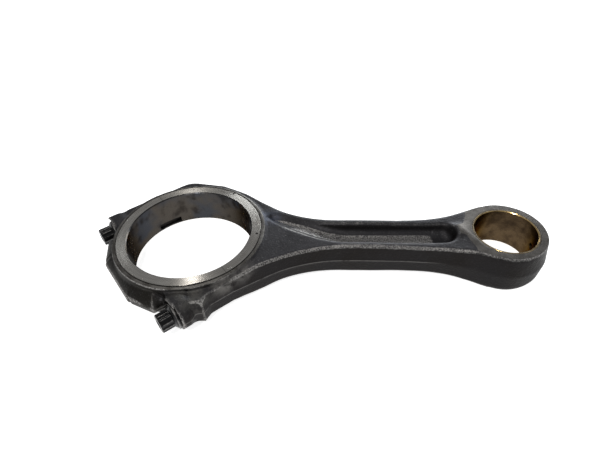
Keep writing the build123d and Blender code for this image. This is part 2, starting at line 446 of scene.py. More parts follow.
def face_outwards(solid):
    """Turns every face of a closed solid outwards."""
    shell = bmesh.new()
    shell.from_mesh(solid.data)
    bmesh.ops.recalc_face_normals(shell, faces=shell.faces)
    shell.to_mesh(solid.data)
    shell.free()


def along_bolt(name, profile, t, segments=72):
    """A turned solid whose profile is (r, s), laid along the bolts."""
    made = lathe(name, profile, segments)
    made.data.transform(bolt_frame(0.0, t))
    return made


def bolt_frame(s, t):
    """Moves +Z onto the bolts' direction, from a point of the joint frame."""
    x, y = to_row(s, t)
    turn = Matrix.Rotation(JOINT_ANGLE, 4, "Z") @ Matrix.Rotation(math.pi / 2, 4, "Y")
    return Matrix.Translation((x, y, 0)) @ turn


def block_tool(name, low, high):
    """A box in the joint frame."""
    corners = [(x, y, z) for x in (low[0], high[0]) for y in (low[1], high[1]) for z in (low[2], high[2])]
    faces = [(0, 1, 3, 2), (4, 6, 7, 5), (0, 4, 5, 1), (2, 3, 7, 6), (0, 2, 6, 4), (1, 5, 7, 3)]
    made = new_object(name, corners, faces)
    face_outwards(made)
    made.data.transform(Matrix.Rotation(JOINT_ANGLE, 4, "Z"))
    return made


def machine(body, operation, *tools):
    """Cuts or joins closed tools with the body, one after another, and removes them."""
    for tool in tools:
        step = body.modifiers.new("step", "BOOLEAN")
        step.operation = operation
        step.solver = "MANIFOLD"
        step.object = tool
        graph = bpy.context.evaluated_depsgraph_get()
        result = bpy.data.meshes.new_from_object(body.evaluated_get(graph))
        body.modifiers.clear()
        body.data = result
        bpy.data.objects.remove(tool)


# ---- camera, floor and light

CAMERA_PLACE = (0.11111, -0.27229, 0.26993)
CAMERA_YAW, CAMERA_PITCH, CAMERA_ROLL = (math.radians(a) for a in (-3.648, 42.166, -2.258))
CAMERA_LENS = 26.77

ROOM_COLOUR, ROOM_STRENGTH = (0.97, 0.98, 1.0, 1), 0.32
FLOOR_HALF = 4.0
FLOOR_GAP = 0.0002          # under the rod
FLOOR_GLOW = 0.8            # keeps the paper white to its far end

# Name, place, target, size, power in watts and colour. The overhead lamp is a strip that lies across
# the thrust face's turning marks, so it leaves one narrow streak on each side of the bore.
LIGHTS = [
    ("window", (0.5, 1.5, 0.55), (0.15, 0, 0), (1.3, 0.6), 21, (0.93, 0.97, 1.0)),
    ("overhead", (-0.25, 0.3, 1.25), (-0.2, -0.03, 0), (0.06, 0.7), 2.6, (1.0, 0.97, 0.93)),
    ("ceiling", (-0.14, -0.65, 1.03), (-0.22, 0.05, 0), (0.1, 0.3), 4.2, (1.0, 0.98, 0.95)),
]


def camera():
    """The camera, aimed by yaw, pitch below the horizon and roll."""
    reach = math.cos(CAMERA_PITCH)
    ahead = Vector((math.sin(CAMERA_YAW) * reach, math.cos(CAMERA_YAW) * reach, -math.sin(CAMERA_PITCH)))
    level = Vector((math.cos(CAMERA_YAW), -math.sin(CAMERA_YAW), 0))
    above = level.cross(ahead)
    right = level * math.cos(CAMERA_ROLL) + above * math.sin(CAMERA_ROLL)
    up = above * math.cos(CAMERA_ROLL) - level * math.sin(CAMERA_ROLL)
    data = bpy.data.cameras.new("camera")
    data.lens = CAMERA_LENS
    data.sensor_width = 36.0
    data.clip_start, data.clip_end = 0.01, 50.0
    made = link_object("camera", data)
    made.matrix_world = Matrix.Translation(CAMERA_PLACE) @ Matrix((right, up, -ahead)).transposed().to_4x4()
    bpy.context.scene.camera = made


def soft_light(name, place, target, size, power, colour):
    """A rectangular lamp at place that faces target."""
    data = bpy.data.lights.new(name, "AREA")
    data.shape = "RECTANGLE"
    data.size, data.size_y = size
    data.energy = power
    data.color = colour
    made = link_object(name, data)
    made.location = place
    made.rotation_mode = "QUATERNION"
    made.rotation_quaternion = (Vector(target) - Vector(place)).to_track_quat("-Z", "Y")


def studio():
    """A plain white floor under the rod, soft lights and a pale room."""
    scene = bpy.context.scene
    scene.view_settings.view_transform = "Standard"
    world = bpy.data.worlds.new("room")
    world.use_nodes = True
    background = world.node_tree.nodes["Background"]
    background.inputs["Color"].default_value = ROOM_COLOUR
    background.inputs["Strength"].default_value = ROOM_STRENGTH
    scene.world = world
    z = cad_low.z - FLOOR_GAP
    corners = [(x * FLOOR_HALF, y * FLOOR_HALF, z) for x, y in ((-1, -1), (1, -1), (1, 1), (-1, 1))]
    floor = new_object("floor", corners, [(0, 1, 2, 3)])
    paper = bpy.data.materials.new("floor_paper")
    paper.use_nodes = True
    shader = paper.node_tree.nodes["Principled BSDF"]
    shader.inputs["Base Color"].default_value = (0.92, 0.92, 0.92, 1)
    shader.inputs["Roughness"].default_value = 0.9
    shader.inputs["Emission Color"].default_value = (1, 1, 1, 1)
    shader.inputs["Emission Strength"].default_value = FLOOR_GLOW
    floor.data.materials.append(paper)
    for light in LIGHTS:
        soft_light(*light)


# ---- machined pieces

def crankpin_cutter():
    """The crankpin bore's cutter, whose chamfers go on past the thrust faces."""
    mouth = BORE_R + BORE_CHAMFER
    wide = mouth + CUTTER_Z - THRUST_Z
    return lathe("cut", [(0, -CUTTER_Z), (wide, -CUTTER_Z), (mouth, -THRUST_Z),
                         (BORE_R, -THRUST_Z + BORE_CHAMFER), (BORE_R, THRUST_Z - BORE_CHAMFER),
                         (mouth, THRUST_Z), (wide, CUTTER_Z), (0, CUTTER_Z)])


def face_ring(body):
    """Turns the groove and the thrust face at both ends of the crankpin bore, and bores it."""
    inner = THRUST_R - 0.2
    for side in (-1, 1):
        floor, top = side * GROOVE_FLOOR, side * CUTTER_Z
        groove = [(inner, floor), (GROOVE_R, floor), (GROOVE_R, top), (inner, top)]
        machine(body, "DIFFERENCE", lathe("groove", groove))
    core, face = BORE_R - 4, THRUST_R - THRUST_EDGE
    washer = [(core, -THRUST_Z), (face, -THRUST_Z), (THRUST_R, -THRUST_Z + THRUST_EDGE),
              (THRUST_R, THRUST_Z - THRUST_EDGE), (face, THRUST_Z), (core, THRUST_Z)]
    machine(body, "UNION", lathe("washer", washer))
    machine(body, "DIFFERENCE", crankpin_cutter())


def tang_cutter():
    """The slot for the bearing shells' tangs, across the joint."""
    low = (TANG_S[0], BORE_R - TANG_DEPTH, TANG_Z - TANG_HALF)
    high = (TANG_S[1], BORE_R + TANG_DEPTH, TANG_Z + TANG_HALF)
    return block_tool("tang", low, high)


def oil_hole_cutter():
    """A drill with a countersink, along +X from inside the small end."""
    profile = [(0, 0), (OIL_HOLE_R, 0), (OIL_HOLE_R, DRUM_R - 1.2),
               (OIL_HOLE_R + COUNTERSINK, DRUM_R + 0.6), (0, DRUM_R + 15)]
    drill = lathe("drill", profile, 48)
    drill.data.transform(Matrix.Translation((PIN_X, 0, 0)) @ Matrix.Rotation(math.pi / 2, 4, "Y"))
    return drill


def slab(low, high):
    """A box in the row frame."""
    made = block_tool("slab", low, high)
    made.data.transform(Matrix.Rotation(-JOINT_ANGLE, 4, "Z"))
    return made


def rod_body(looks):
    """The rod's forging, with its machined faces, bores and holes."""
    field = Field("rod_body", rod_field, ROD_VOXEL)
    body = field.surface("rod_forging")
    face_ring(body)
    cuts = [block_tool("joint", (-90, -90, -30), (0, 90, 30)), tang_cutter()]
    for z in (-PIN_END_Z - 6, PIN_END_Z):
        cuts.append(slab((180, -60, z), (320, 60, z + 6)))
    cuts.append(lathe("bush_hole", [(0, -20), (BUSH_R, -20), (BUSH_R, 20), (0, 20)], 128, (PIN_X, 0)))
    cuts.append(oil_hole_cutter())
    for t in (-BOLT_T, BOLT_T):
        hole = [(0, -1), (HOLE_R + 1.8, -1), (HOLE_R, 0.8), (HOLE_R, HOLE_DEPTH - 2), (0, HOLE_DEPTH)]
        cuts.append(along_bolt("hole", hole, t))
    for x, y in PRICK_MARKS:
        cone = [(0, THRUST_Z - 1.6), (MARK_R, THRUST_Z + 0.2), (0, THRUST_Z + 0.5)]
        cuts.append(lathe("mark", cone, 16, (x, y)))
    machine(body, "DIFFERENCE", *cuts)
    field.edge_map(lambda x, y, z: np.abs(z) - PIN_END_Z)
    finish_piece(body, field, looks, rod_wear_and_highlight_bands)
    place_piece(body, "rod", "rod_body")


def bearing_cap(looks):
    """The cap's forging, with its half of the bore, spot faces and bolt holes."""
    field = Field("bearing_cap", cap_field, CAP_VOXEL)
    body = field.surface("cap_forging")
    face_ring(body)
    cuts = [block_tool("joint", (0, -90, -30), (90, 90, 30)), tang_cutter()]
    for t in (-BOLT_T, BOLT_T):
        seat = [(0, -90), (SPOT_FACE_R, -90), (SPOT_FACE_R, -SEAT_S), (0, -SEAT_S)]
        cuts.append(along_bolt("seat", seat, t, 96))
        hole = [(0, -60), (CLEARANCE_R + 0.6, -60), (CLEARANCE_R + 0.6, -SEAT_S),
                (CLEARANCE_R, -SEAT_S + 0.6), (CLEARANCE_R, -0.6), (CLEARANCE_R + 1.6, 1), (0, 1)]
        cuts.append(along_bolt("hole", hole, t))
    machine(body, "DIFFERENCE", *cuts)
    field.edge_map()
    finish_piece(body, field, looks, cap_wear_and_highlight_bands)
    place_piece(body, "cap", "bearing_cap")


def star(angle):
    """Radius of the twelve-point head, with blunt points and filled notches."""
    sector = math.pi / 3
    across = HEAD_R * math.cos(sector / 2)
    flats = [across / math.cos((angle + turn) % sector - sector / 2) for turn in (0, sector / 2)]
    return min(max(*flats, 0.905 * HEAD_R), 0.985 * HEAD_R)


def head_rings():
    """The head from its dimple to the seat, as (z, radius or radius at an angle, how worn)."""
    end = -HEAD_LENGTH
    rings = [(end + 1.2, 2.6, 0.3), (end + 0.2, 3.8, 0.4), (end, 4.1, 0.8), (end, 6.5, 0.8)]
    for step in np.linspace(0.05, 1.2, 7):
        rings.append((end + step, lambda a, r=6.75 + 1.15 * step: min(star(a), r), 0.75))
    for z in np.linspace(end + 1.8, -4.6, 7):
        rings.append((z, star, 0.5))
    rings.append((-4.1, lambda a: max(star(a), 7.5), 0.3))
    rings += [(-3.8, 8.2, 0.2), (-2.6, 9.75, 0.5), (-2.2, FLANGE_R - 0.1, 0.9), (-1.9, FLANGE_R, 0.9),
              (-0.4, FLANGE_R, 0.6), (-SEAT_GAP, 9.8, 0.8), (-SEAT_GAP, 6.3, 0.3)]
    return rings


def shank_rings():
    """The shank from the seat to its threaded end, as (z, radius or radius at an angle, how worn)."""
    tip = SEAT_S + BOLT_END
    root = WAIST_R - 0.05
    rings = [(0.4, THREAD_R, 0.4), (13.6, THREAD_R, 0.5), (14.3, WAIST_R, 0.4),
             (THREAD_START - 0.8, WAIST_R, 0.4)]
    for z in np.arange(THREAD_START, tip, THREAD_PITCH / THREAD_STEPS):
        lead = min(1, (z - THREAD_START) / THREAD_PITCH)
        crest = min(THREAD_R, 4.9 + (tip - z))

        def ridge(a, z=z, lead=lead, crest=crest):
            phase = (z / THREAD_PITCH - a / (2 * math.pi)) % 1
            height = min(1.0, 1.25 * (1 - abs(2 * phase - 1)))
            return min(crest, root + lead * height * (THREAD_R - root))
        rings.append((z, ridge, 0.6))
    rings.append((tip, 4.7, 0.7))
    return rings


def ring_mesh(name, rings):
    """A closed solid through rings about Z, and how worn each of its points is."""
    points, worn, faces = [(0, 0, rings[0][0])], [0.3], []
    for z, radius, wear in rings:
        for i in range(BOLT_SEGMENTS):
            angle = 2 * math.pi * i / BOLT_SEGMENTS
            r = radius(angle) if callable(radius) else radius
            points.append((r * math.cos(angle), r * math.sin(angle), z))
            corner = max(0.0, (r / HEAD_R - 0.93) / 0.055) if radius is star else 0.0
            worn.append(wear + 0.35 * corner)
    points.append((0, 0, rings[-1][0]))
    worn.append(0.5)
    last = len(points) - 1
    for i in range(BOLT_SEGMENTS):
        j = (i + 1) % BOLT_SEGMENTS
        faces.append((0, 1 + j, 1 + i))
        faces.append((last, last - BOLT_SEGMENTS + i, last - BOLT_SEGMENTS + j))
        for ring in range(len(rings) - 1):
            a = 1 + ring * BOLT_SEGMENTS
            b = a + BOLT_SEGMENTS
            faces.append((a + i, a + j, b + j, b + i))
    made = new_object(name, points, faces)
    face_outwards(made)
    return made, worn


def cap_bolt(name, t, body_name, looks):
    """A flange bolt with a twelve-point head, a waisted shank and a rolled thread."""
    bolt, worn = ring_mesh(name, head_rings() + shank_rings())
    bolt.data.transform(bolt_frame(-SEAT_S, t))
    store_edges(bolt, worn)
    bolt.data.materials.append(looks["bolt"])
    place_piece(bolt, body_name, "cap_" + body_name)


def pin_bush(looks):
    """The bronze bush, chamfered at its ends and drilled for oil."""
    half, lead = PIN_END_Z, 0.6
    profile = [(PIN_R, -half + lead), (PIN_R + lead, -half), (BUSH_R - 0.3, -half), (BUSH_R, -half + 0.3),
               (BUSH_R, half - 0.3), (BUSH_R - 0.3, half), (PIN_R + lead, half), (PIN_R, half - lead)]
    bush = lathe("bronze_bush", profile, 128, (PIN_X, 0))
    machine(bush, "DIFFERENCE", oil_hole_cutter())
    slope = np.abs(face_facts(bush)[1][:, 2])
    bush.data.materials.clear()
    for look in (looks["bronze"], looks["bronze_rim"], looks["bronze_end"]):
        bush.data.materials.append(look)
    bush.data.polygons.foreach_set("material_index", np.digitize(slope, (0.3, 0.9)).astype(np.int32))
    place_piece(bush, "rod", "pin_bush")


def face_facts(body):
    """Centre and normal of every face."""
    count = len(body.data.polygons)
    centre, normal = np.empty(count * 3), np.empty(count * 3)
    body.data.polygons.foreach_get("center", centre)
    body.data.polygons.foreach_get("normal", normal)
    return centre.reshape(-1, 3), normal.reshape(-1, 3)


def store_edges(body, values):
    edge = body.data.attributes.new("edge", "FLOAT", "POINT")
    edge.data.foreach_set("value", np.asarray(values, np.float32))


def drum_edge(x, y, z_abs):
    """Signed distance from the small end's side, without its rounding."""
    return np.hypot(x - PIN_X, y) - DRUM_R + DRUM_TOP_SLOPE * z_abs


def rod_wear_and_highlight_bands(points, normals):
    """Bands on the rod, added to its edge map: painted highlights on the pocket's floor and on its edges
    that face -Y, and wear with painted highlight on the flange rims and the small end's rim.
    """
    x, y = points[:, 0], points[:, 1]
    z_abs = np.abs(points[:, 2])
    depth = -outline_distance(pocket_outline(), x, y)
    shank = 1 - ramp(x, 201, 208)
    # Painted highlight: the bright band on the pocket's floor, and the pocket's edges that face -Y.
    band = ramp(depth, 1.5, 4.0) * ramp(np.abs(normals[:, 2]), 0.82, 0.97)
    line = np.exp(-((depth - 0.6) / 1.2)**2) * ramp(-normals[:, 1], 0.0, 0.12)
    side = outline_distance(rod_outline(), x, y) + z_abs * math.tan(FORGING_DRAFT)
    rim = np.exp(-((side + 1.0) / 0.8)**2) * ramp(z_abs - top_height(x, y), -2.4, -1.2)
    drum = np.exp(-((drum_edge(x, y, z_abs) + 2.6) / 1.3)**2) * ramp(z_abs, PIN_END_Z - 3, PIN_END_Z - 1)
    small_end = ramp(x, 222, 236)
    return shank * (0.27 * band + 0.3 * line) + 0.2 * rim * (1 - small_end) + 0.2 * drum * small_end


def segment_distance(points, start, end):
    """Distance from a straight line between two points."""
    start, end = np.array(start), np.array(end)
    share = np.clip((points - start) @ (end - start) / ((end - start) @ (end - start)), 0, 1)
    return np.linalg.norm(points - start - share[:, None] * (end - start), axis=1)


def cap_wear_and_highlight_bands(points, _normals):
    """Bands of wear and painted highlight on the cap, added to its edge map: the near lug's rim and the
    crown's ridge.
    """
    x, y, z = points.T
    s, t = x * COS + y * SIN, y * COS - x * SIN
    # Wear and painted highlight along the lug's rim and the crown's ridge.
    rim_start, rim_end = (-38.5, -62.5, 11.4), (-28.5, -70.0, 11.4)
    lug = segment_distance(np.stack([s, t, np.abs(z)], 1), rim_start, rim_end)
    ridge = np.exp(-((np.abs(z) - 3.0) / 1.3)**2) * ramp(-s, 60, 64)
    return 0.2 * np.exp(-(lug / 0.8)**2) + 0.13 * ridge


def finish_piece(body, field, looks, wear_and_highlight):
    """Stores the edge map, with its bands of wear and painted highlight, on a machined forging and gives
    each of its surfaces a material.
    """
    count = len(body.data.vertices)
    points, normals = np.empty(count * 3), np.empty(count * 3)
    body.data.vertices.foreach_get("co", points)
    body.data.vertices.foreach_get("normal", normals)
    points, normals = points.reshape(-1, 3), normals.reshape(-1, 3)
    store_edges(body, field.sample(field.edges, points) + wear_and_highlight(points, normals))
    (x, y, z), (nx, ny, nz) = (facts.T for facts in face_facts(body))
    radius = np.hypot(x, y)
    s, t = x * COS + y * SIN, y * COS - x * SIN
    along = nx * COS + ny * SIN
    bolt_radius = np.hypot(np.abs(t) - BOLT_T, z)
    bolt_out = (np.abs(t) - BOLT_T) * np.sign(t) * (ny * COS - nx * SIN) + z * nz
    bolt_out = bolt_out / np.maximum(bolt_radius, 1e-6)
    ring = (radius > GROOVE_R - 0.01) & (radius < RING_R)
    mark = np.min([np.hypot(x - a, y - b) for a, b in PRICK_MARKS], axis=0) < MARK_R
    mouth = np.minimum(np.abs(s), np.abs(s + SEAT_S)) < 1
    in_hole = (s > -SEAT_S - 0.01) & (s < HOLE_DEPTH)
    rules = {
        "bore": (radius < BORE_R + BORE_CHAMFER) & (np.abs(nz) < 0.9),
        "mark": mark & (z > 13) & (z < THRUST_Z - 0.01),
        "thrust": (np.abs(z) > THRUST_Z - 1) & (radius < THRUST_R + 0.02) & (np.abs(nz) > 0.5),
        "groove": (np.abs(z) > GROOVE_FLOOR - 0.02) & (radius > THRUST_R - 0.1) & (radius < GROOVE_R + 0.02),
        "fracture": (np.abs(s) < 0.02) & (np.abs(along) > 0.99),
        "land": (np.abs(z) > RING_Z - 0.25) & ring & (np.abs(nz) > 0.9),
        "milled": (np.abs(z) > PIN_END_Z - 0.02) & (x > 200) & (np.abs(nz) > 0.99),
        "seat": (np.abs(s + SEAT_S) < 0.02) & (np.abs(along) > 0.99),
        "hole": (bolt_radius < CLEARANCE_R + 0.1 + 1.6 * mouth) & (bolt_out < -0.3) & in_hole,
    }
    index = np.zeros(len(x), np.int32)
    body.data.materials.clear()
    body.data.materials.append(looks["cap" if body.name.startswith("cap") else "rod"])
    for number, (name, taken) in enumerate(rules.items(), start=1):
        body.data.materials.append(looks[name])
        index[taken & (index == 0)] = number
    body.data.polygons.foreach_set("material_index", index)


def place_piece(body, body_name, node):
    """Scales a finished piece to metres and puts it in place of its CAD node."""
    body.data.transform(Matrix.Scale(MM, 4))
    body.data.polygons.foreach_set("use_smooth", [True] * len(body.data.polygons))
    body.data.set_sharp_from_angle(angle=math.radians(32))
    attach(body, body_name)
    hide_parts(node)


# ---- materials

class Look:
    """One material's nodes: noise, ramps, mixes and bumps on the object's own coordinates."""

    def __init__(self, name, colour, metallic, roughness):
        self.material = bpy.data.materials.new(name)
        self.material.use_nodes = True
        self.tree = self.material.node_tree
        self.shader = self.tree.nodes["Principled BSDF"]
        self.place = self.add("ShaderNodeTexCoord").outputs["Object"]
        self.put("Base Color", (*colour, 1))
        self.put("Metallic", metallic)
        self.put("Roughness", roughness)

    def add(self, kind, **settings):
        node = self.tree.nodes.new(kind)
        for key, value in settings.items():
            setattr(node, key, value)
        return node

    def feed(self, value, socket):
        if isinstance(value, bpy.types.NodeSocket):
            self.tree.links.new(value, socket)
        else:
            socket.default_value = value

    def put(self, name, value):
        self.feed(value, self.shader.inputs[name])

    def math(self, operation, a, b=0.0):
        node = self.add("ShaderNodeMath", operation=operation)
        self.feed(a, node.inputs[0])
        self.feed(b, node.inputs[1])
        return node.outputs[0]

    def times(self, a, b):
        return self.math("MULTIPLY", a, b)

    def noise(self, size, detail=3.0, place=None, roughness=0.55):
        """Noise whose features are about size millimetres across."""
        node = self.add("ShaderNodeTexNoise")
        self.feed(self.place if place is None else place, node.inputs["Vector"])
        node.inputs["Scale"].default_value = 1 / (size * MM)
        node.inputs["Detail"].default_value = detail
        node.inputs["Roughness"].default_value = roughness
        return node.outputs["Fac"]

    def cells(self, size, feature="SMOOTH_F1"):
        """Distance to the nearest of random points about size millimetres apart."""
        node = self.add("ShaderNodeTexVoronoi", feature=feature)
        self.feed(self.place, node.inputs["Vector"])
        node.inputs["Scale"].default_value = 1 / (size * MM)
        return node.outputs["Distance"]

    def ramp(self, value, low, high, start=0.0, end=1.0):
        """Smooth change from start to end as value goes from low to high."""
        node = self.add("ShaderNodeMapRange", interpolation_type="SMOOTHSTEP")
        self.feed(value, node.inputs["Value"])
        for key, number in zip(("From Min", "From Max", "To Min", "To Max"), (low, high, start, end)):
            node.inputs[key].default_value = number
        return node.outputs["Result"]

    def mix(self, share, a, b):
        node = self.add("ShaderNodeMix", data_type="RGBA")
        self.feed(share, node.inputs["Factor"])
        sockets = [i for i in node.inputs if i.type == "RGBA"]
        for socket, value in zip(sockets, (a, b)):
            self.feed(value if isinstance(value, bpy.types.NodeSocket) else (*value, 1), socket)
        return [o for o in node.outputs if o.type == "RGBA"][0]

    def bump(self, height, depth, normal=None, strength=1.0):
        """Bump from a height between 0 and 1 that stands for depth millimetres."""
        node = self.add("ShaderNodeBump")
        node.inputs["Strength"].default_value = strength
        node.inputs["Distance"].default_value = depth * MM
        self.feed(height, node.inputs["Height"])
        if normal is not None:
            self.feed(normal, node.inputs["Normal"])
        return node.outputs["Normal"]

    def edge(self):
        return self.add("ShaderNodeAttribute", attribute_name="edge").outputs["Fac"]

    def split(self, vector):
        node = self.add("ShaderNodeSeparateXYZ")
        self.feed(vector, node.inputs[0])
        return node.outputs

    def level(self):
        """1 on level faces and 0 on upright ones."""
        normal = self.add("ShaderNodeNewGeometry").outputs["Normal"]
        return self.math("ABSOLUTE", self.split(normal)["Z"])

    def facing_near(self):
        """1 on faces that look towards -Y, less on the others."""
        normal = self.add("ShaderNodeNewGeometry").outputs["Normal"]
        return self.ramp(self.split(normal)["Y"], -0.2, 0.15, 1.0, 0.12)

    def in_hollow(self):
        """1 inside the plan of the I-beam pocket."""
        x, y = self.split(self.place)["X"], self.math("ABSOLUTE", self.split(self.place)["Y"])
        inside = self.ramp(x, 0.075, 0.085)
        return self.times(inside, self.ramp(y, 0.0085, 0.0105, 1.0, 0.0))

    def distance(self, place):
        """Distance in metres from a point given in millimetres."""
        node = self.add("ShaderNodeVectorMath", operation="DISTANCE")
        self.feed(self.place, node.inputs[0])
        node.inputs[1].default_value = tuple(v * MM for v in place)
        return node.outputs["Value"]

    def along_bolts(self):
        """Distance in metres from the joint, positive into the rod."""
        node = self.add("ShaderNodeVectorMath", operation="DOT_PRODUCT")
        self.feed(self.place, node.inputs[0])
        node.inputs[1].default_value = (COS, SIN, 0)
        return node.outputs["Value"]

    def outwards(self):
        """Direction away from the crankpin bore's axis, so that highlights lie across turning marks."""
        flat = self.add("ShaderNodeVectorMath", operation="MULTIPLY")
        self.feed(self.place, flat.inputs[0])
        flat.inputs[1].default_value = (1, 1, 0)
        turn = self.add("ShaderNodeVectorTransform", vector_type="VECTOR",
                        convert_from="OBJECT", convert_to="WORLD")
        self.feed(flat.outputs[0], turn.inputs[0])
        unit = self.add("ShaderNodeVectorMath", operation="NORMALIZE")
        self.feed(turn.outputs[0], unit.inputs[0])
        return unit.outputs[0]

    def radius(self, centre_x=0.0):
        """Distance in metres from a bore's axis."""
        x, y = (self.split(self.place)[i] for i in range(2))
        x = self.math("SUBTRACT", x, centre_x * MM)
        return self.math("SQRT", self.math("ADD", self.times(x, x), self.times(y, y)))

    def around(self, centre_x=0.0, turns=6.0):
        """Coordinates that change fast across turning marks round a bore's axis, and slowly along them."""
        x, y, z = (self.split(self.place)[i] for i in range(3))
        angle = self.math("ARCTAN2", y, self.math("SUBTRACT", x, centre_x * MM))
        node = self.add("ShaderNodeCombineXYZ")
        self.feed(self.radius(centre_x), node.inputs[0])
        self.feed(self.times(angle, turns * MM), node.inputs[1])
        self.feed(z, node.inputs[2])
        return node.outputs[0]


def skin_tone(look, top, side, spots, crown, blotches, streaks):
    """The forging's base colour: lighter on level faces as painted light, blotched, and tinted at a few
    spots, some of them painted light.
    """
    # Painted light: level faces take the lit top tone and upright faces the shaded side tone.
    colour = look.mix(look.ramp(look.level(), 0.25, 0.9), side, top)
    if crown:
        colour = look.mix(look.ramp(look.along_bolts(), -0.056, -0.046, 1.0, 0.0), colour, crown)
    shade = look.ramp(blotches, 0.3, 0.7, 0.0, 0.5)
    colour = look.mix(shade, colour, tuple(c * 0.55 for c in top))
    for place, reach, strength, tint in spots:
        near = look.ramp(look.distance(place), 0.2 * reach * MM, reach * MM, strength, 0.0)
        colour = look.mix(look.times(near, look.ramp(streaks, 0.3, 0.6)), colour, tint)
    return colour


def worn_and_highlit_edges(look, grain, streaks):
    """Where the edge map says that the skin is worn bright and painted with highlights, on near faces and in
    the pocket; keeping it to faces that look towards -Y makes it a painted highlight as well as wear.
    """
    edge = look.math("ADD", look.edge(), look.times(streaks, 0.10))
    # Wear and painted highlight on the edges, speckled by the grain.
    rubbed = look.times(look.ramp(edge, 0.63, 0.745), look.ramp(grain, 0.38, 0.62, 0.15, 1.0))
    return look.times(rubbed, look.math("MAXIMUM", look.facing_near(), look.in_hollow()))


def flash_line(look, streaks):
    """The bright line of the trimmed flash, on upright faces from the big end to the small end."""
    height = look.math("ABSOLUTE", look.split(look.place)["Z"])
    flash = look.times(look.ramp(height, 0.0002, 0.0007, 0.28, 0.0), look.ramp(streaks, 0.25, 0.5))
    start, end = (x * MM for x in FLASH_FADE)
    flash = look.times(flash, look.ramp(look.split(look.place)["X"], start, end, 1.0, 0.0))
    return look.times(flash, look.ramp(look.level(), 0.3, 0.6, 1.0, 0.0))


def forged(name, top, side, worn, spots, crown=None):
    """Dark shot-peened forging skin with painted glints and painted light on level faces, worn bright along
    its edges and painted with highlights there.
    """
    look = Look(name, side, 0.65, 0.5)
    grain = look.noise(1.0, 2.5)
    blotches = look.noise(28, 3)
    streaks = look.noise(7, 4)
    colour = skin_tone(look, top, side, spots, crown, blotches, streaks)
    # Painted glints: bright specks of the grain in the base colour, stronger on level faces.
    glints = look.ramp(grain, 0.58, 0.72, 0.0, 0.6)
    glints = look.times(glints, look.ramp(look.level(), 0.2, 0.8, 0.2, 1.0))
    colour = look.mix(look.times(glints, 0.28), colour, worn)
    # Wear and painted highlight: bright edges and bands of the edge map, and the flash line.
    wear = look.math("MAXIMUM", worn_and_highlit_edges(look, grain, streaks), flash_line(look, streaks))
    look.put("Base Color", look.mix(wear, colour, worn))
    look.put("Roughness", look.ramp(blotches, 0.25, 0.75, 0.38, 0.55))
    look.put("Specular IOR Level", 0.35)
    look.put("Specular Tint", (0.6, 0.6, 0.6, 1))
    dents = look.bump(look.noise(6, 2), 0.25)
    shot = look.bump(look.cells(1.5), 0.16, dents)
    look.put("Normal", look.bump(grain, 0.12, shot))
    return look.material


def thrust_steel():
    """Turned thrust face: satin with concentric tool marks, stains and a few pits near its outer edge."""
    dull, bright, dirt = (0.39, 0.372, 0.342), (0.50, 0.48, 0.445), (0.05, 0.045, 0.04)
    look = Look("thrust_steel", bright, 1.0, 0.26)
    radius, around = look.radius(), look.around()
    marks = look.noise(0.22, 2, around)
    bands = look.noise(2.2, 3, around)
    stains = look.noise(17, 4)
    colour = look.mix(look.ramp(bands, 0.3, 0.7), dull, bright)
    colour = look.mix(look.ramp(stains, 0.5, 0.75, 0.0, 0.4), colour, (0.26, 0.23, 0.20))
    pits = look.times(look.ramp(look.cells(4.5, "F1"), 0.05, 0.16, 1.0, 0.0),
                      look.ramp(radius, 0.0560, 0.0585))
    rim = look.ramp(radius, 0.0598, 0.0604, 0.0, 0.6)
    seam = look.ramp(look.math("ABSOLUTE", look.along_bolts()), 0.0001, 0.0003, 0.7, 0.0)
    dark = look.math("MAXIMUM", pits, look.math("MAXIMUM", rim, seam))
    look.put("Base Color", look.mix(dark, colour, dirt))
    look.put("Roughness", look.ramp(marks, 0.3, 0.7, 0.22, 0.30))
    look.put("Anisotropic", 0.95)
    look.put("Tangent", look.outwards())
    look.put("Normal", look.bump(marks, 0.006, look.bump(pits, -0.15)))
    return look.material


def bore_steel():
    """Honed bore: dark, with fine marks round it, blue patches and oil stains."""
    brown = (0.060, 0.053, 0.046)
    look = Look("bore_steel", brown, 1.0, 0.3)
    stretch = look.add("ShaderNodeVectorMath", operation="MULTIPLY")
    look.feed(look.around(turns=50), stretch.inputs[0])
    stretch.inputs[1].default_value = (1, 0.15, 1)
    marks = look.noise(0.5, 3, stretch.outputs[0])
    stains = look.noise(13, 4)
    blue = look.noise(30, 2)
    colour = look.mix(look.ramp(blue, 0.42, 0.62), brown, (0.044, 0.046, 0.052))
    colour = look.mix(look.ramp(stains, 0.5, 0.68, 0.0, 0.7), colour, (0.022, 0.019, 0.017))
    look.put("Base Color", colour)
    look.put("Roughness", look.ramp(stains, 0.35, 0.7, 0.24, 0.42))
    look.put("Specular Tint", (0.25, 0.25, 0.25, 1))
    look.put("Normal", look.bump(marks, 0.008))
    return look.material


def fracture_steel():
    """Split joint face: bright broken grain."""
    dull, bright = (0.17, 0.165, 0.16), (0.42, 0.41, 0.40)
    look = Look("fracture_steel", dull, 0.9, 0.5)
    grain = look.noise(0.9, 5, roughness=0.7)
    relief = look.noise(5, 3)
    look.put("Base Color", look.mix(look.ramp(grain, 0.35, 0.65), dull, bright))
    look.put("Normal", look.bump(grain, 0.35, look.bump(relief, 0.8)))
    return look.material


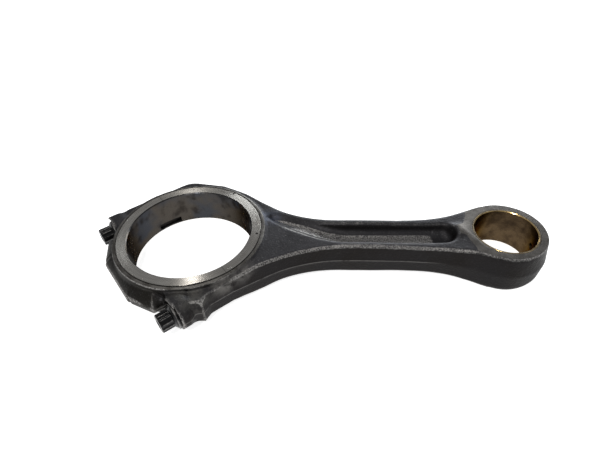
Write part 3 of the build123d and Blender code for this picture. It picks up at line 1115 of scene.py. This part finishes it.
def milled_steel(name, centre_x, colour, dark):
    """Faced steel with faint curved tool marks and stains."""
    look = Look(name, colour, 0.9, 0.45)
    marks = look.noise(0.35, 2, look.around(centre_x))
    stains = look.noise(9, 4)
    grain = look.noise(1.1, 3)
    tone = look.mix(look.ramp(stains, 0.38, 0.66), colour, dark)
    tone = look.mix(look.ramp(grain, 0.55, 0.72, 0.0, 0.4), tone, tuple(c * 2.1 for c in colour))
    look.put("Base Color", tone)
    look.put("Roughness", look.ramp(marks, 0.3, 0.7, 0.36, 0.54))
    look.put("Normal", look.bump(marks, 0.012, look.bump(grain, 0.06)))
    return look.material


def hole_steel():
    """Wall of a bolt hole, with the ridges of its thread."""
    clean, oily = (0.12, 0.115, 0.11), (0.03, 0.028, 0.025)
    look = Look("hole_steel", clean, 0.9, 0.4)
    ridges = look.math("PINGPONG", look.along_bolts(), THREAD_PITCH * MM / 2)
    ridges = look.math("DIVIDE", ridges, THREAD_PITCH * MM / 2)
    grime = look.noise(4, 4)
    look.put("Base Color", look.mix(look.ramp(grime, 0.35, 0.65), clean, oily))
    look.put("Normal", look.bump(ridges, 0.5))
    return look.material


def groove_steel():
    """The groove round the thrust face, full of old oil."""
    clean, oily = (0.075, 0.07, 0.066), (0.018, 0.016, 0.014)
    look = Look("groove_steel", clean, 0.6, 0.45)
    grime = look.noise(5, 4)
    look.put("Base Color", look.mix(look.ramp(grime, 0.4, 0.65), clean, oily))
    look.put("Normal", look.bump(look.noise(0.8, 3), 0.05))
    return look.material


def bronze_wall():
    """Bored bronze: brown oil film over fine marks round the bore."""
    thin, thick, bare = (0.088, 0.060, 0.034), (0.046, 0.031, 0.019), (0.22, 0.145, 0.065)
    look = Look("bronze_wall", thin, 1.0, 0.26)
    marks = look.noise(0.45, 3, look.around(PIN_X, turns=4))
    film = look.noise(11, 3)
    colour = look.mix(look.ramp(film, 0.38, 0.66), thin, thick)
    look.put("Base Color", look.mix(look.ramp(marks, 0.55, 0.8, 0.0, 0.4), colour, bare))
    look.put("Roughness", look.ramp(film, 0.3, 0.7, 0.22, 0.38))
    look.put("Specular Tint", (0.36, 0.31, 0.25, 1))
    look.put("Normal", look.bump(marks, 0.01))
    return look.material


def bronze_rim():
    """The bush's chamfers, polished bright."""
    bright, filmed = (0.62, 0.44, 0.19), (0.26, 0.18, 0.08)
    look = Look("bronze_rim", bright, 1.0, 0.22)
    film = look.noise(6, 3)
    look.put("Base Color", look.mix(look.ramp(film, 0.4, 0.7), bright, filmed))
    look.put("Roughness", look.ramp(film, 0.3, 0.7, 0.18, 0.34))
    look.put("Normal", look.bump(look.noise(0.6, 3), 0.01))
    return look.material


def black_oxide():
    """Oiled black bolt, rubbed on its corners."""
    black, blacker, bare = (0.009, 0.009, 0.010), (0.004, 0.004, 0.004), (0.30, 0.29, 0.28)
    look = Look("black_oxide", black, 0.6, 0.24)
    smears = look.noise(3.5, 4)
    grain = look.noise(0.5, 3)
    edge = look.math("ADD", look.edge(), look.times(smears, 0.5))
    tone = look.mix(look.ramp(smears, 0.35, 0.65), black, blacker)
    look.put("Base Color", look.mix(look.ramp(edge, 0.98, 1.16, 0.0, 0.5), tone, bare))
    look.put("Roughness", look.ramp(smears, 0.3, 0.7, 0.2, 0.42))
    look.put("Specular IOR Level", 0.2)
    look.put("Coat Weight", 0.2)
    look.put("Coat Roughness", 0.14)
    look.put("Normal", look.bump(grain, 0.02, look.bump(smears, 0.05)))
    return look.material


# Painted light: the lit tone of level faces and the shaded tone of upright ones.
LIT_TOP_TONE = (0.034, 0.033, 0.036)
SHADED_SIDE_TONE = (0.0085, 0.0070, 0.0064)
# Colour of wear, and of painted glints and highlights, on the forgings.
WORN_AND_HIGHLIGHT_TONE = (0.30, 0.29, 0.28)
CROWN_TONE = (0.021, 0.019, 0.016)

# Lighter and darker patches of the forgings' skin, one in each list painted light: centre and reach in
# millimetres, strength and colour
ROD_SPOTS = [
    ((66, 19, 12), 15, 0.6, (0.06, 0.07, 0.10)),
    ((48, -41, 14), 16, 0.7, (0.14, 0.133, 0.127)),
    ((34, -54, 13), 18, 0.5, (0.10, 0.096, 0.090)),
    ((80, -12, 14), 16, 0.6, (0.022, 0.021, 0.023)),
    ((232, 3, 17), 12, 0.5, (0.06, 0.056, 0.053)),
    # Painted highlight: bluish light on the small end's far rounded rim.
    ((248, 29, 17), 13, 0.6, (0.11, 0.12, 0.14)),
]
CAP_SPOTS = [
    ((14, -64, 12), 22, 0.9, (0.085, 0.082, 0.076)),
    # Painted light: lifts a shaded patch on the cap's near flange beside the joint.
    ((38, -53, 13), 16, 0.9, (0.13, 0.124, 0.117)),
    ((-12, -72, 11), 10, 0.6, (0.10, 0.097, 0.092)),
]


def all_looks():
    groove = groove_steel()
    return {
        "rod": forged("rod_skin", LIT_TOP_TONE, SHADED_SIDE_TONE, WORN_AND_HIGHLIGHT_TONE, ROD_SPOTS),
        "cap": forged("cap_skin", LIT_TOP_TONE, SHADED_SIDE_TONE, WORN_AND_HIGHLIGHT_TONE, CAP_SPOTS, CROWN_TONE),
        "land": milled_steel("land_steel", 0.0, (0.115, 0.110, 0.102), (0.055, 0.051, 0.046)),
        "thrust": thrust_steel(),
        "bore": bore_steel(),
        "groove": groove,
        "mark": groove,
        "fracture": fracture_steel(),
        "milled": milled_steel("milled_steel", PIN_X, (0.078, 0.071, 0.064), (0.046, 0.041, 0.036)),
        "seat": milled_steel("seat_steel", 0.0, (0.06, 0.057, 0.05), (0.03, 0.027, 0.022)),
        "hole": hole_steel(),
        "bronze": bronze_wall(),
        "bronze_rim": bronze_rim(),
        "bronze_end": milled_steel("bronze_end", PIN_X, (0.14, 0.11, 0.07), (0.075, 0.058, 0.038)),
        "bolt": black_oxide(),
    }


# ---- the scene

def main():
    looks = all_looks()
    rod_body(looks)
    bearing_cap(looks)
    pin_bush(looks)
    cap_bolt("bolt_near_black", -BOLT_T, "bolt_near", looks)
    cap_bolt("bolt_far_black", BOLT_T, "bolt_far", looks)
    camera()
    studio()


main()
